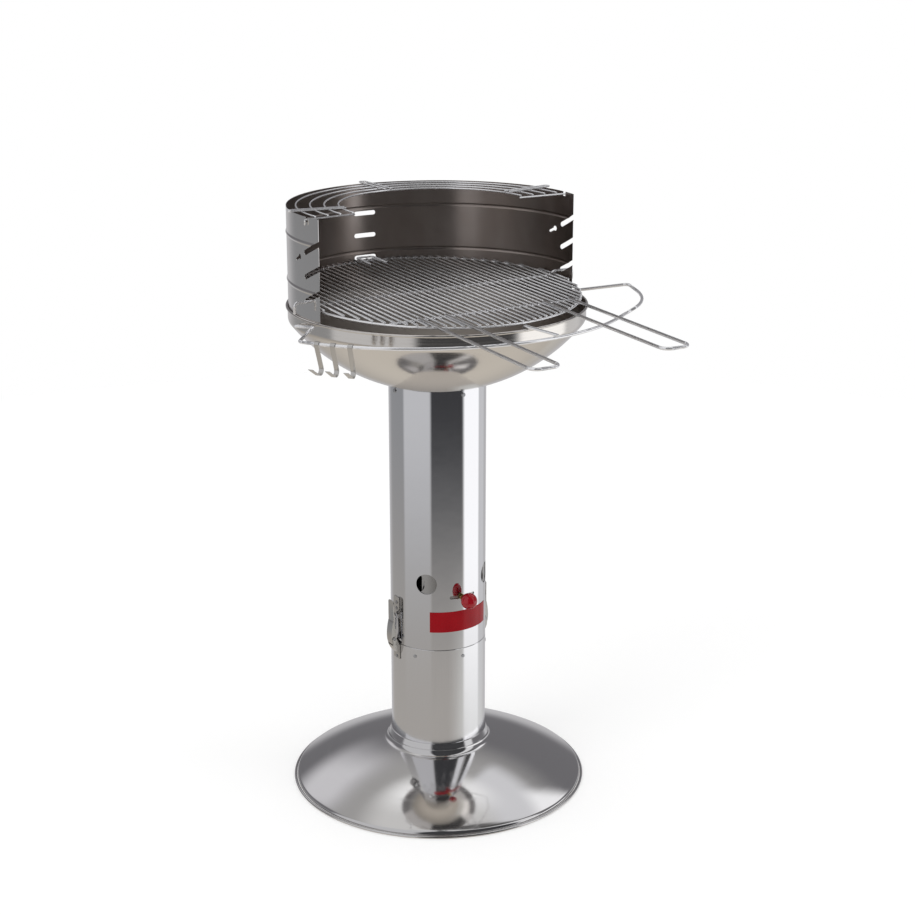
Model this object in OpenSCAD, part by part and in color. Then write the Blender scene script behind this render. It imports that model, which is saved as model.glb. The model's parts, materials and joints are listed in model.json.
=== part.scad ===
// Charcoal barbecue on a round pedestal column.
// Origin on the column's axis at floor level, front towards -Y, +Z up, millimetres.

/* [Foot] */
// Radius of the foot out to its hem
base_r = 267; // [230:1:320]
// Radius of the foot's spherical crown
base_crown_r = 482; // [420:1:700]
// Sheet of the foot
base_t = 1.2; // [0.8:0.1:2]
// Radius of the rolled hem
hem_r = 2.5; // [2:0.1:4]
// How far the ledge reaches past the column
ledge_w = 8; // [6:0.5:14]
// Fillet where the collar meets the crown
collar_fillet = 12; // [6:0.5:20]
// Height of the collar over its fillet, up to the ledge that carries the column
collar_h = 10.46; // [8:0.01:20]
// Rounding of the ledge's edge
collar_edge = 3; // [2:0.1:5]
// Hole in the middle of the ledge plate
base_hole_r = 40; // [25:1:50]

/* [Column] */
// Outer radius of the column
col_r = 85.5; // [80:0.5:95]
// Sheet of the column
col_t = 1; // [0.8:0.1:1.2]
// Height of the lower column
lower_h = 181.5; // [165:0.5:240]
// Height of the upper column
upper_h = 474.6; // [420:0.5:560]
// Inner reach of the lower column's bolted flange
flange_w = 24; // [22:0.5:26]
// Height of the sleeve that joins the columns
sleeve_h = 70; // [60:1:90]
// Sleeve below the joint
sleeve_below = 44.5; // [36:0.5:50]
// Rivets below the joint
rivet_drop = 15; // [10:0.5:25]
// Count of rivets round the sleeve
rivet_count = 6; // [4:1:8]
// Radius of a rivet's shank
rivet_r = 2; // [1.5:0.1:2.4]
// Radius of a rivet's head
rivet_head_r = 3.2; // [2.6:0.1:4]
// Bolts between foot and lower column, radius of their circle
bolt_circle_r = 72; // [70:0.5:74]
// Radius of a foot bolt
bolt_r = 3; // [2.5:0.1:4]

/* [Ash basin] */
// Radius of the basin
basin_r = 80; // [70:0.5:82]
// Radius of the basin's bottom
basin_foot_r = 56; // [45:0.5:58]
// Height of the basin
basin_h = 142; // [100:1:150]
// Height of the basin's conical lower part
basin_cone_h = 32; // [30:1:40]
// Sheet of the basin
basin_t = 0.8; // [0.6:0.1:1.2]

/* [Air control] */
// Radius of an air hole
air_hole_r = 18.75; // [14:0.25:22]
// Air holes above the column joint
air_rise = 124.5; // [120:0.5:135]
// Count of air holes
air_count = 4; // [3:1:5]
// Turn of the ring's holes away from the column's at rest
air_turn = 14.8; // [0:0.2:20]
// Height of the air ring
ring_h = 70; // [60:1:80]
// Gap between air ring and column
ring_gap = 0.4; // [0.3:0.05:0.6]
// Air ring reaches below its knob's slot by this
ring_below = 18; // [14:0.5:24]
// Knob slot's centre above the joint
slot_rise = 99; // [96:0.5:101]
// Height of the knob slot
slot_w = 6; // [5.8:0.1:8]
// Turn of the stud from the front at the slot's ends
slot_turn = 15; // [10:0.5:20]
// Turn of the knob from the front at rest
knob_turn = -2; // [-10:0.5:10]
// Radius of the knob's stud
stud_r = 2.6; // [2:0.1:2.8]
// Radius of the ball knob
ball_r = 14.5; // [11:0.5:18]
// Ball centre in front of the column
ball_reach = 26.5; // [24:0.5:34]
// Width of the nut across its flats
nut_w = 10; // [8:0.5:12]
// Thickness of the knob's nut
nut_h = 5; // [4:0.5:6]

/* [Label band] */
// Height of the bare label band
badge_h = 38; // [30:0.5:40]
// Lower edge of the band above the joint
badge_rise = 34.5; // [32:0.5:40]
// Turn of the band either side of the front
badge_turn = 41; // [30:0.5:50]
// Thickness of the band
badge_t = 0.4; // [0.2:0.1:0.8]

/* [Toggle latches] */
// Width of the lever's channel
lever_w = 17.2; // [17:0.1:19]
// Sheet of lever, keeper and bracket
latch_t = 1.2; // [1:0.1:1.4]
// Wall of the lever's flanges and the bracket's ears
ear_t = 1; // [0.8:0.1:1.2]
// Clearance between the latch's moving pieces
latch_gap = 0.3; // [0.3:0.05:0.4]
// Lever pivot's stand-off from the column
pivot_out = 11; // [10.8:0.1:12]
// Lever pivot above the joint
pivot_rise = 10.5; // [9.5:0.1:12]
// Radius of the lever's stub pins
pivot_r = 2; // [1.6:0.1:2.2]
// Bail pivot nearer the column than the lever pivot
bail_in = 1.5; // [1.2:0.1:1.8]
// Bail pivot below the lever pivot
bail_drop = 8; // [7.6:0.1:8.2]
// Radius of the bail wire
bail_r = 1.4; // [1.2:0.1:1.5]
// Length of the bail between its pivot and its top bar
bail_h = 54; // [50:0.5:58]
// Stand-off of the bail's top bar
bail_seat_out = 5; // [4.8:0.1:5.2]
// Height of the lever's belly
belly_h = 44.3; // [40:0.1:48]
// Crown radius of the belly's lower half
belly_low_r = 52; // [48:0.5:56]
// Crown radius of the belly's upper half
belly_top_r = 108; // [90:1:130]
// Belly stands proud of the pivot by this much
belly_out = 5.8; // [5.6:0.1:6.4]
// Width of the finger tab
tab_w = 18; // [16:0.2:20]
// Height of the finger tab
tab_h = 39.5; // [30:0.5:44]
// Width of the keeper's hook tongue
tongue_w = 8; // [7:0.1:8.2]
// Height of the bracket plate
plate_h = 27.5; // [25:0.5:32]
// Height of the keeper plate
keeper_h = 33; // [28:0.5:36]
// Width of the keeper plate
keeper_w = 18; // [14:0.2:20]

/* [Bowl] */
// Radius of the bowl's upright band
band_r = 256.6; // [230:0.2:290]
// Height of the band over its fillet, rim included
band_h = 21.3; // [20:0.1:30]
// Radius of the bowl's spherical dish
dish_r = 325; // [310:1:400]
// Fillet between dish and band
bowl_fillet = 12; // [8:0.5:18]
// Sheet of the bowl
bowl_t = 1.2; // [0.8:0.1:2]
// Radius of the rolled rim's tube
rim_r = 2.3; // [2:0.1:3]
// Length of the neck inside the column
neck_h = 27; // [20:0.5:40]
// Gap between neck and column
neck_gap = 0.3; // [0.3:0.05:0.6]
// Neck screws below the column's top
screw_drop = 7.5; // [6:0.5:14]
// Radius of a screw's shank
screw_r = 2.4; // [2:0.1:2.8]
// Radius of a screw's head
screw_head_r = 3.6; // [3.2:0.1:4]
// Outer radius of the charcoal grate
grate_r = 130; // [110:1:150]
// Wire radius of the charcoal grate
grate_wire_r = 3; // [2:0.1:4]
// Pitch of the charcoal grate's bars
grate_pitch = 15; // [12:0.5:20]

/* [Windshield] */
// Height of the windshield
screen_h = 190.5; // [170:0.5:230]
// Sheet of the windshield
screen_t = 0.8; // [0.6:0.1:1.2]
// Turn of the windshield's ends away from the rear
screen_turn = 100.5; // [98:0.5:102]
// Height of its beads over the sheet
bead_out = 1.5; // [1:0.1:2.5]
// Half height of a bead
bead_half = 4; // [3:0.1:6]
// Upper bead below the top edge
bead_drop = 44; // [30:0.5:50]
// Distance between the beads
bead_pitch = 80; // [70:0.5:90]
// Width of a grid slot
grid_slot_w = 8.5; // [8:0.1:10]
// Rise of the slots towards the front
grid_slot_turn = 25; // [20:0.5:30]
// Height between the slots
grid_slot_pitch = 40.3; // [36:0.1:44]
// Lowest slot's seat above the windshield's lower edge
grid_slot_rise = 51; // [50:0.1:52]
// Slot's seat in front of the axis
grid_slot_y = 7.5; // [6:0.1:9]
// Width of a rear slot
rear_slot_w = 44; // [40:0.5:54]
// Height of a rear slot
rear_slot_h = 8; // [7.6:0.1:9]
// Lowest rear slot above the windshield's lower edge
rear_slot_rise = 56; // [55:0.1:57]
// Depth of the notches in the top edge
notch_h = 8; // [6:0.5:10]
// Turn of the notches away from the rear
notch_turn = 93; // [90:0.5:95]

/* [Cooking grid] */
// Gap between the cooking grid and the windshield
grid_gap = 5.1; // [4:0.1:8]
// Radius of a grid bar
bar_r = 1.75; // [1.5:0.05:2.2]
// Pitch of the grid bars
bar_pitch = 12.8; // [11:0.1:15]
// Radius of the grid's ring wire
grid_ring_r = 2; // [1.8:0.1:3]
// Radius of the cross wires
cross_r = 2.5; // [2:0.1:3]
// Front cross wire behind the grid's front edge
front_wire_in = 91.3; // [70:0.1:110]
// Height of the bars' top at the axis above the bowl's rim
grid_rise = 24; // [23:0.1:26]
// Upward tilt of the grid towards the rear
grid_tilt = 2.5; // [2:0.1:3]
// Sideways reach of the hanger wire past the windshield
hanger_out = 22; // [16:0.5:30]
// Length of the hanger wire's turned-down ends
hanger_drop = 18; // [14:0.5:24]
// Radius of the rear tongue's wire
tongue_r = 2; // [1.6:0.1:2.2]
// Length of the tongue's legs under the grid's rear edge
tongue_lap = 45; // [30:1:60]
// Reach of the tongue past the windshield
tongue_out = 4.5; // [3:0.1:5]
// Wire radius of the grips
grip_r = 2.75; // [2.5:0.05:3.2]
// Grid bars between a grip's legs
grip_bars = 4; // [3:1:6]
// Left grip starts at this bar from the middle
grip_left_bar = -11; // [-13:1:-9]
// Right grip starts at this bar from the middle
grip_right_bar = 8; // [6:1:10]
// Reach of the grips past the grid's front edge
grip_out = 253.7; // [200:0.1:300]
// Length of the grips' legs over the grid
grip_lap = 77.3; // [60:0.1:90]
// Bend radius at the grips' corners
grip_bend = 15; // [10:0.5:20]

/* [Tool rail] */
// Wire radius of the tool rail
rail_r = 2.75; // [2.5:0.05:3.2]
// Radius of the rail's front sweep
rail_front_r = 360; // [340:1:400]
// Sideways shift of the sweep's centre
sweep_x = -20.6; // [-40:0.1:0]
// Shift of the sweep's centre to the rear
sweep_y = 24; // [10:0.5:40]
// Turn at which the sweep starts on the left
sweep_start = 210.5; // [205:0.5:215]
// Turn at which the sweep ends on the right
sweep_end = 304; // [300:0.5:308]
// Bend radius at the rail's corners
rail_bend = 11; // [8:0.5:14]
// Bend radius of the rail's wide corner on the right
rail_end_r = 250; // [150:5:270]
// Rail's height below the rim's top
rail_drop = 0; // [0:0.5:6]
// Holes of the rail below the rim's top
rail_hole_drop = 15; // [14:0.5:16]
// Wire radius of the grid's support on the rail
support_r = 2.5; // [2:0.1:3]
// Sideways place of the support wire
support_x = 17; // [0:1:30]
// Support wire's reach into the bowl
support_in = 12; // [9:0.5:14]
// Drop of the support wire's turned-down end
support_hang = 14; // [10:1:20]

/* [Hooks] */
// Width of a hook's strip
hook_w = 8.5; // [7:0.5:14]
// Thickness of a hook's strip
hook_t = 1.2; // [1:0.1:2]
// Straight run of a hook below the rail
hook_drop = 41; // [30:0.5:60]
// Lean of the straight run towards the bowl
hook_lean = 20; // [0:1:25]
// Mid radius of the hook's lower turn
hook_curl_r = 8; // [6:0.1:10]
// Length of the hook's tail
hook_tail = 26; // [10:0.5:32]
// Rise of the tail from level
hook_tail_turn = 31; // [10:1:80]

/* [Warming rack] */
// Wire radius of the rack
rack_wire_r = 1.5; // [1.2:0.1:2]
// Rack's outer arc inside the windshield's wall
rack_inset = 15.9; // [10:0.1:25]
// Distance between the rack's arcs
rack_pitch = 24; // [20:0.2:28]
// Count of the rack's arcs
rack_count = 4; // [3:1:5]
// Turn of the rack's side hairpins from the rear
hairpin_turn = 80; // [70:1:85]
// Distance between a hairpin's wires
hairpin_w = 12; // [9:0.5:16]
// Reach of the hairpins past the windshield
hairpin_out = 9; // [7:0.5:12]

/* [Hidden] */
$fn = 64;
// Steps of a drawn arc
arc_steps = 12;
// Cuts run past a face by this much
overrun = 1;
// Face-to-face seat of flat on curved
touch = 0.05;
// Seat of a loose piece on what carries it
seat = 0.3;
// Radial clearance of pins and shanks in their holes
pin_gap = 0.05;
// Depth to which welded wires sink into each other
weld = 0.6;
// A bend's tube is fuller than its straight wire by this, and the wire runs this far into it
bend_swell = 0.02;
bend_lap = 0.15;

// Foot
hem_c = base_r - hem_r;
hem_flat_turn = 30;
hem_z = hem_r*cos(hem_flat_turn);
base_mid_r = base_crown_r - base_t/2;
crown_z = hem_z - sqrt(base_mid_r*base_mid_r - hem_c*hem_c);
collar_r = col_r + ledge_w;
collar_c = collar_r + collar_fillet;
collar_span = base_crown_r + collar_fillet;
collar_z = crown_z + sqrt(collar_span*collar_span - collar_c*collar_c);
base_h = collar_z + collar_h;
bolt_head_h = 3;
bolt_nut_h = 3.6;
bolt_count = 4;

// Column
col_in = col_r - col_t;
joint_z = base_h + lower_h;
upper_top = joint_z + upper_h;
sleeve_r = col_in - 2*pin_gap;
sleeve_in = sleeve_r - col_t;
sleeve_z = joint_z - sleeve_below;
rivet_z = joint_z - rivet_drop;
rivet_head_h = 0.8;
basin_z = base_h + seat;

// Air control
air_z = joint_z + air_rise;
air_first = 45;
ring_r = col_in - ring_gap;
ring_in = ring_r - col_t;
slot_z = joint_z + slot_rise;
slot_half = slot_turn + asin(slot_w/2/col_r);
ring_z = slot_z - ring_below;
front = 270;
ball_c = col_r + ball_reach;
stud_head_h = 1.2;
stud_head_r = 4;
nut_gap = 0.6;
nut_corner_share = 2/sqrt(3);
badge_z = joint_z + badge_rise;

// Latches, drawn with x away from the column's wall, y sideways and z up
pivot_z = joint_z + pivot_rise;
bail_out = pivot_out - bail_in;
bail_z = pivot_z - bail_drop;
flange_out = lever_w/2;
flange_in = flange_out - ear_t;
ear_in = flange_out + latch_gap;
ear_out = ear_in + ear_t;
bail_half = flange_in - latch_gap - bail_r;
seat_rise = bail_h;
seat_z = bail_z + seat_rise;
belly_z = pivot_z + belly_out;
belly_x = pivot_out + belly_out;
lever_low_z = pivot_z - bail_drop - bail_r - ear_t;
strap_top_z = lever_low_z - 2*latch_t;
lever_top_z = lever_low_z + belly_h;
tab_x = pivot_out + bail_in/3;
tab_corner = tab_w/4;
ear_round = 2*pivot_r;
plate_low_z = strap_top_z - plate_h;
plate_top_z = strap_top_z;
foot_rivet_z = plate_low_z + rivet_head_r + 2*touch;
keeper_floor_z = seat_z - bail_r - seat;
keeper_lip_x = bail_seat_out + bail_r + seat;
keeper_lip_z = seat_z + bail_r + latch_t*2;
keeper_rivets_z = [keeper_floor_z + keeper_h/3, keeper_floor_z + keeper_h*2/3];
latch_turns = [180, 0];
bail_lean = atan2(bail_seat_out - bail_out, seat_rise);
bail_bend = 3;

// Bowl
dish_in_r = dish_r - bowl_t;
dish_z = upper_top + sqrt(dish_r*dish_r - col_in*col_in);
fillet_c = band_r - bowl_fillet;
fillet_span = dish_r - bowl_fillet;
fillet_z = dish_z - sqrt(fillet_span*fillet_span - fillet_c*fillet_c);
rim_z = fillet_z + band_h;
band_in = band_r - bowl_t;
rim_c = band_in + rim_r;
neck_r = col_in - neck_gap;
neck_in = neck_r - bowl_t;
neck_top = dish_z - sqrt(dish_r*dish_r - neck_r*neck_r) + bowl_t/2;
neck_z = upper_top - neck_h;
col_top = upper_top - touch;
screw_z = upper_top - screw_drop;
screw_first = 270;
screw_count = 4;
screw_head_h = 2;
screw_nut_h = 3;
grate_ring_c = grate_r - grate_wire_r;
grate_span = dish_in_r - grate_wire_r - seat;
grate_z = dish_z - sqrt(grate_span*grate_span - grate_ring_c*grate_ring_c);
grate_bars = floor((grate_r - 2*grate_wire_r)/grate_pitch);

// Windshield
screen_gap = 0.2;
screen_r = band_in - screen_gap;
screen_in = screen_r - screen_t;
screen_z = fillet_z + screen_t;
screen_top = screen_z + screen_h;
upper_bead_z = screen_top - bead_drop;
grid_slot_z = screen_z + grid_slot_rise;
rear_slot_z = screen_z + rear_slot_rise;
screen_screw_z = rim_z - 11.5;
screen_screw_turns = [90 - screen_turn + 7, 90, 90 + screen_turn - 7];
keyhole_turn = 87;
keyhole_z = screen_top - 69;
keyhole_r = 4.5;
keyhole_tail_r = 2.2;
keyhole_run = 15;
rear = 90;

// Cooking grid, drawn flat with its bars' top at zero, then tilted and lifted
grid_z = rim_z + grid_rise;
grid_r = screen_in - grid_gap;
front_wire_y = grid_r - front_wire_in;
grip_reach = grid_r + grip_out;
grip_start = grid_r - grip_lap;
bar_z = -bar_r;
wire_gap = 0.1;
grid_bars = floor((grid_r - 2*bar_r)/bar_pitch);
grid_ring_z = -2*bar_r - grid_ring_r - wire_gap;
grid_ring_c = grid_r - grid_ring_r;
hanger_z = -2*bar_r - cross_r - wire_gap;
hanger_x = (grid_bars - 0.5)*bar_pitch;
hanger_seat_y = -grid_slot_y;
hanger_slack = grid_slot_w/2 - cross_r - seat;
hanger_seat_z = (grid_slot_z - hanger_slack - grid_z + grid_slot_y*sin(grid_tilt))/cos(grid_tilt);
hanger_y = 2*cross_r;
hanger_end_x = screen_r + hanger_out;
hanger_bend = 6;
tongue_z = -0.4*tongue_r;
tongue_y = screen_r + tongue_out - tongue_r;
tongue_half = bar_pitch + bar_r + tongue_r + wire_gap;
tongue_start = grid_r - tongue_lap;
tongue_bend = 6;
grip_side = 2.9;
grip_lay = grip_r + bar_r + 2*touch;
grip_z = bar_z + sqrt(grip_lay*grip_lay - grip_side*grip_side);

// Tool rail
rail_z = rim_z - rail_drop;
rail_hole_z = rim_z - rail_hole_drop;

// Hooks, by their turn round the sweep's centre
hook_turns = [213.1, 217.5, 222.1];
hook_gap = 0.4;
hook_r = rail_r + hook_gap + hook_t/2;

// Warming rack
rack_z = screen_top - rack_wire_r + 2*rack_wire_r*0.2;
rack_gap = 0.1;
hairpin_z = max(screen_top + seat, rack_z + rack_wire_r + rack_gap) + rack_wire_r;
end_bar_z = rack_z - 2*rack_wire_r - rack_gap;
rack_r = screen_in - rack_inset;
rack_in = rack_r - (rack_count - 1)*rack_pitch;
end_bar_drop = 9;
end_bar_x = screen_r + rack_wire_r + 1.5;

// A unit vector along v
function unit(v) = v/norm(v);
// Points of an arc in a plane, both ends included
function arc(x, y, r, from, to, steps = arc_steps) =
  [for (i = [0:steps]) let (a = from + (to - from)*i/steps) [x + r*cos(a), y + r*sin(a)]];
// The same points in reverse order
function back(points) = [for (i = [len(points) - 1:-1:0]) points[i]];
// A point on a circle round the axis
function polar(r, a, z) = [r*cos(a), r*sin(a), z];

// Round bar between two points
module bar(a, b, r) {
  v = b - a;
  translate(a)
    rotate([0, acos(v.z/norm(v)), atan2(v.y, v.x)])
      cylinder(r = r, h = norm(v));
}

// Bend of a wire at corner p, coming along u and leaving along v
module bend(p, u, v, tangent, r) {
  turn = acos(u*v);
  radius = tangent/tan(turn/2);
  n = unit(cross(u, v));
  inward = cross(n, u);
  c = p - u*tangent + inward*radius;
  multmatrix([
    [-inward.x, u.x, n.x, c.x],
    [-inward.y, u.y, n.y, c.y],
    [-inward.z, u.z, n.z, c.z]
  ])
    rotate_extrude(angle = turn)
      translate([radius, 0])
        circle(r = r);
}

// Length of straight wire that a bend of this radius takes from each side of a corner
function bend_back(a, p, b, radius) = radius*tan(acos(unit(p - a)*unit(b - p))/2);

// Wire through points, each inner corner bent to the one radius or to its own
module wire(points, radius, r) {
  last = len(points) - 1;
  backs = [for (i = [0:last])
    i == 0 || i == last ? 0 : bend_back(points[i - 1], points[i], points[i + 1],
      is_list(radius) ? radius[i - 1] : radius)];
  laps = [for (b = backs) max(b - bend_lap, 0)];
  for (i = [0:last - 1]) {
    u = unit(points[i + 1] - points[i]);
    bar(points[i] + u*laps[i], points[i + 1] - u*laps[i + 1], r);
  }
  for (i = [1:last - 1])
    bend(points[i], unit(points[i] - points[i - 1]), unit(points[i + 1] - points[i]), backs[i],
      r + bend_swell);
}

// Full ring of round wire
module wire_ring(c, r, z) {
  translate([0, 0, z])
    rotate_extrude()
      translate([c, 0])
        circle(r = r);
}

// Copies its child at each turn round the axis
module around(turns) {
  for (a = turns)
    rotate([0, 0, a])
      children();
}

// Upright tube
module tube(r, inner, z, h) {
  translate([0, 0, z])
    difference() {
      cylinder(r = r, h = h);
      translate([0, 0, -overrun])
        cylinder(r = inner, h = h + 2*overrun);
    }
}

// Round cutter or shank lying along +X
module spoke(r, from, to, z = 0, y = 0) {
  translate([from, y, z])
    rotate([0, 90, 0])
      cylinder(r = r, h = to - from);
}

// The foot's sheet line at a depth below its outer face
function base_line(d) = concat(
  arc(0, crown_z, base_crown_r - d,
    acos(hem_c/base_crown_r), atan2(collar_z - crown_z, collar_c)),
  arc(collar_c, collar_z, collar_fillet + d,
    180 + atan2(collar_z - crown_z, collar_c), 180),
  arc(collar_r - collar_edge, base_h - collar_edge, collar_edge - d, 0, 90),
  [[base_hole_r, base_h - d]]
);

module base_dome() {
  color("silver")
    difference() {
      union() {
        rotate_extrude()
          polygon(concat(base_line(0), back(base_line(base_t))));
        rotate_extrude()
          polygon(arc(hem_c, hem_z, hem_r, hem_flat_turn - 90, 270 - hem_flat_turn, 2*arc_steps));
      }
      around(bolt_turns())
        translate([bolt_circle_r, 0, base_h - 2*base_t])
          cylinder(r = bolt_r + pin_gap, h = 4*base_t);
    }
}

function bolt_turns() = [for (i = [0:bolt_count - 1]) 45 + 360*i/bolt_count];

// Foot bolts with their heads on the flange
module base_bolts() {
  color("gray")
    around(bolt_turns())
      translate([bolt_circle_r, 0, 0]) {
        translate([0, 0, base_h + col_t])
          cylinder(r = 2*bolt_r, h = bolt_head_h);
        translate([0, 0, base_h - base_t - bolt_nut_h - col_t])
          cylinder(r = bolt_r, h = base_t + bolt_nut_h + 3*col_t);
      }
}

module base_nuts() {
  color("gray")
    around(bolt_turns())
      translate([bolt_circle_r, 0, base_h - base_t - bolt_nut_h])
        difference() {
          cylinder(r = bolt_r*2, h = bolt_nut_h, $fn = 6);
          translate([0, 0, -overrun])
            cylinder(r = bolt_r + pin_gap, h = bolt_nut_h + 2*overrun);
        }
}

function rivet_turns() = [for (i = [0:rivet_count - 1]) front + 360*i/rivet_count];

module lower_column() {
  color("silver")
    difference() {
      union() {
        tube(col_r, col_in, base_h, lower_h);
        tube(col_in + col_t/2, col_r - flange_w - col_t, base_h, col_t);
      }
      around(rivet_turns())
        spoke(rivet_r + pin_gap, sleeve_in - overrun, col_r + overrun, rivet_z);
      around(bolt_turns())
        translate([bolt_circle_r, 0, base_h - overrun])
          cylinder(r = bolt_r + pin_gap, h = col_t + 2*overrun);
      around(latch_turns)
        for (z = bracket_rivet_zs())
          spoke(rivet_r + pin_gap, col_in - overrun, col_r + overrun, z);
    }
}

module column_sleeve() {
  color("dimgray")
    difference() {
      tube(sleeve_r, sleeve_in, sleeve_z, sleeve_h);
      around(rivet_turns())
        spoke(rivet_r + pin_gap, sleeve_in - overrun, col_r + overrun, rivet_z);
      around(latch_turns)
        for (z = bracket_rivet_zs())
          spoke(rivet_head_r + latch_gap, sleeve_in - overrun, col_r, z);
    }
}

// Rivet through a wall along +X, its outer head on the outer face
module rivet(inner, outer, z, y = 0) {
  spoke(rivet_r, inner, outer + touch, z, y);
  spoke(rivet_head_r, outer + touch, outer + touch + rivet_head_h, z, y);
  spoke(rivet_head_r, inner - rivet_head_h, inner, z, y);
}

module sleeve_rivets() {
  color("dimgray")
    around(rivet_turns())
      rivet(sleeve_in - 2*touch, col_r, rivet_z);
}

module ash_basin() {
  color("gray")
    rotate_extrude()
      polygon([
        [0, basin_z],
        [basin_foot_r, basin_z],
        [basin_r, basin_z + basin_cone_h],
        [basin_r, basin_z + basin_h],
        [basin_r - basin_t, basin_z + basin_h],
        [basin_r - basin_t, basin_z + basin_cone_h + basin_t/2],
        [basin_foot_r - basin_t, basin_z + basin_t],
        [0, basin_z + basin_t]
      ]);
}

function air_turns(offset) = [for (i = [0:air_count - 1]) air_first + 360*i/air_count - offset];

module upper_column() {
  color("silver")
    difference() {
      tube(col_r, col_in, joint_z, col_top - joint_z);
      around(air_turns(0))
        spoke(air_hole_r, col_in - overrun, col_r + overrun, air_z);
      rotate([0, 0, front - slot_half])
        translate([0, 0, slot_z - slot_w/2])
          rotate_extrude(angle = 2*slot_half)
            translate([col_in - overrun, 0])
              square([col_t + 2*overrun, slot_w]);
      around(screw_turns())
        spoke(screw_r + pin_gap, col_in - overrun, col_r + overrun, screw_z);
      around(latch_turns)
        for (z = keeper_rivets_z)
          spoke(rivet_r + pin_gap, col_in - overrun, col_r + overrun, z);
    }
}

module badge_band() {
  color("crimson")
    rotate([0, 0, front - badge_turn])
      translate([0, 0, badge_z])
        rotate_extrude(angle = 2*badge_turn)
          translate([col_r + touch, 0])
            square([badge_t, badge_h]);
}

module air_ring() {
  color("dimgray")
    difference() {
      tube(ring_r, ring_in, ring_z, ring_h);
      around(air_turns(air_turn))
        spoke(air_hole_r, ring_in - overrun, ring_r + overrun, air_z);
      rotate([0, 0, front + knob_turn])
        spoke(stud_r + pin_gap, ring_in - overrun, ring_r + overrun, slot_z);
    }
}

// Stud from inside the air ring out to the ball
module knob_stud() {
  color("silver")
    rotate([0, 0, front + knob_turn]) {
      spoke(stud_head_r, ring_in - stud_head_h - 3*touch, ring_in - 3*touch, slot_z);
      spoke(stud_r, ring_in - 4*touch, ball_c, slot_z);
    }
}

module knob_nut() {
  color("goldenrod")
    rotate([0, 0, front + knob_turn])
      difference() {
        translate([col_r + nut_gap, 0, slot_z])
          rotate([0, 90, 0])
            cylinder(r = nut_w/2*nut_corner_share, h = nut_h, $fn = 6);
        spoke(stud_r + pin_gap, col_r, col_r + nut_gap + nut_h + overrun, slot_z);
      }
}

module knob_ball() {
  color("crimson")
    rotate([0, 0, front + knob_turn])
      difference() {
        translate([ball_c, 0, slot_z])
          sphere(r = ball_r);
        spoke(stud_r + pin_gap, col_r, ball_c + pin_gap, slot_z);
      }
}

// Places its child on the column's wall with x outwards
module on_wall(a) {
  rotate([0, 0, a])
    translate([col_r, 0, 0])
      children();
}

// Extrudes an outline in x and z sideways from y to y + w
module side_plate(points, y, w) {
  translate([0, y + w, 0])
    rotate([90, 0, 0])
      linear_extrude(height = w)
        polygon(points);
}

function bracket_rivet_zs() = [foot_rivet_z, foot_rivet_z + 4*rivet_head_r];

// The belly's sheet line at a depth below its outer face
function belly_low(d, from_z, to_z) =
  let (r = belly_low_r - d, x = belly_x - belly_low_r)
    arc(x, belly_z, r, asin((from_z - belly_z)/r), asin((to_z - belly_z)/r));
function belly_top(d, to_z) =
  let (r = belly_top_r - d, x = belly_x - belly_top_r)
    arc(x, belly_z, r, 0, asin((to_z - belly_z)/r));

module keeper() {
  difference() {
    translate([touch, -keeper_w/2, keeper_floor_z])
      cube([latch_t, keeper_w, keeper_h]);
    for (z = keeper_rivets_z)
      spoke(rivet_r + pin_gap, -overrun, latch_t + overrun, z);
  }
  side_plate([
    [touch, keeper_floor_z - latch_t],
    [keeper_lip_x + latch_t, keeper_floor_z - latch_t],
    [keeper_lip_x + latch_t, keeper_lip_z],
    [keeper_lip_x, keeper_lip_z],
    [keeper_lip_x, keeper_floor_z],
    [touch, keeper_floor_z]
  ], -tongue_w/2, tongue_w);
}

module latch_keepers() {
  color("silver")
    for (a = latch_turns)
      on_wall(a)
        keeper();
}

// Ear of the bracket, from the plate up round the lever's pivot
function ear_points() = concat(
  [[touch, foot_rivet_z + 2*rivet_head_r]],
  belly_low(0, foot_rivet_z + 3*rivet_head_r, strap_top_z),
  arc(pivot_out, pivot_z, ear_round, -10, 170),
  [[touch + latch_t, plate_top_z], [touch, plate_top_z]]
);

module bracket() {
  difference() {
    translate([touch, -ear_out, plate_low_z])
      cube([latch_t, 2*ear_out, plate_top_z - plate_low_z]);
    for (z = bracket_rivet_zs())
      spoke(rivet_r + pin_gap, -overrun, latch_t + overrun, z);
  }
  side_plate(
    concat(
      belly_low(0, foot_rivet_z + 3*rivet_head_r, strap_top_z),
      back(belly_low(latch_t, foot_rivet_z + 3*rivet_head_r, strap_top_z))
    ), -ear_out, 2*ear_out);
  for (y = [-ear_out, ear_in])
    difference() {
      side_plate(ear_points(), y, ear_t);
      translate([pivot_out, y - overrun, pivot_z])
        rotate([-90, 0, 0])
          cylinder(r = pivot_r + pin_gap, h = ear_t + 2*overrun);
    }
}

module latch_brackets() {
  color("silver")
    for (a = latch_turns)
      on_wall(a)
        bracket();
}

module latch_rivets() {
  color("dimgray")
    around(latch_turns) {
      for (z = bracket_rivet_zs())
        rivet(col_in - 2*touch, col_r + latch_t + touch, z);
      for (z = keeper_rivets_z)
        rivet(col_in - 2*touch, col_r + latch_t + touch, z);
    }
}

// Stub pins of a lever, each through one ear and one flange, with a head outside
module latch_pins() {
  color("silver")
    for (a = latch_turns)
      on_wall(a)
        for (s = [-1, 1])
          translate([pivot_out, s*flange_in, pivot_z])
            rotate([-90*s, 0, 0]) {
              cylinder(r = pivot_r, h = ear_out - flange_in + touch);
              translate([0, 0, ear_out - flange_in + touch])
                cylinder(r = pivot_r*1.4, h = ear_t/2);
            }
}

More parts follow.
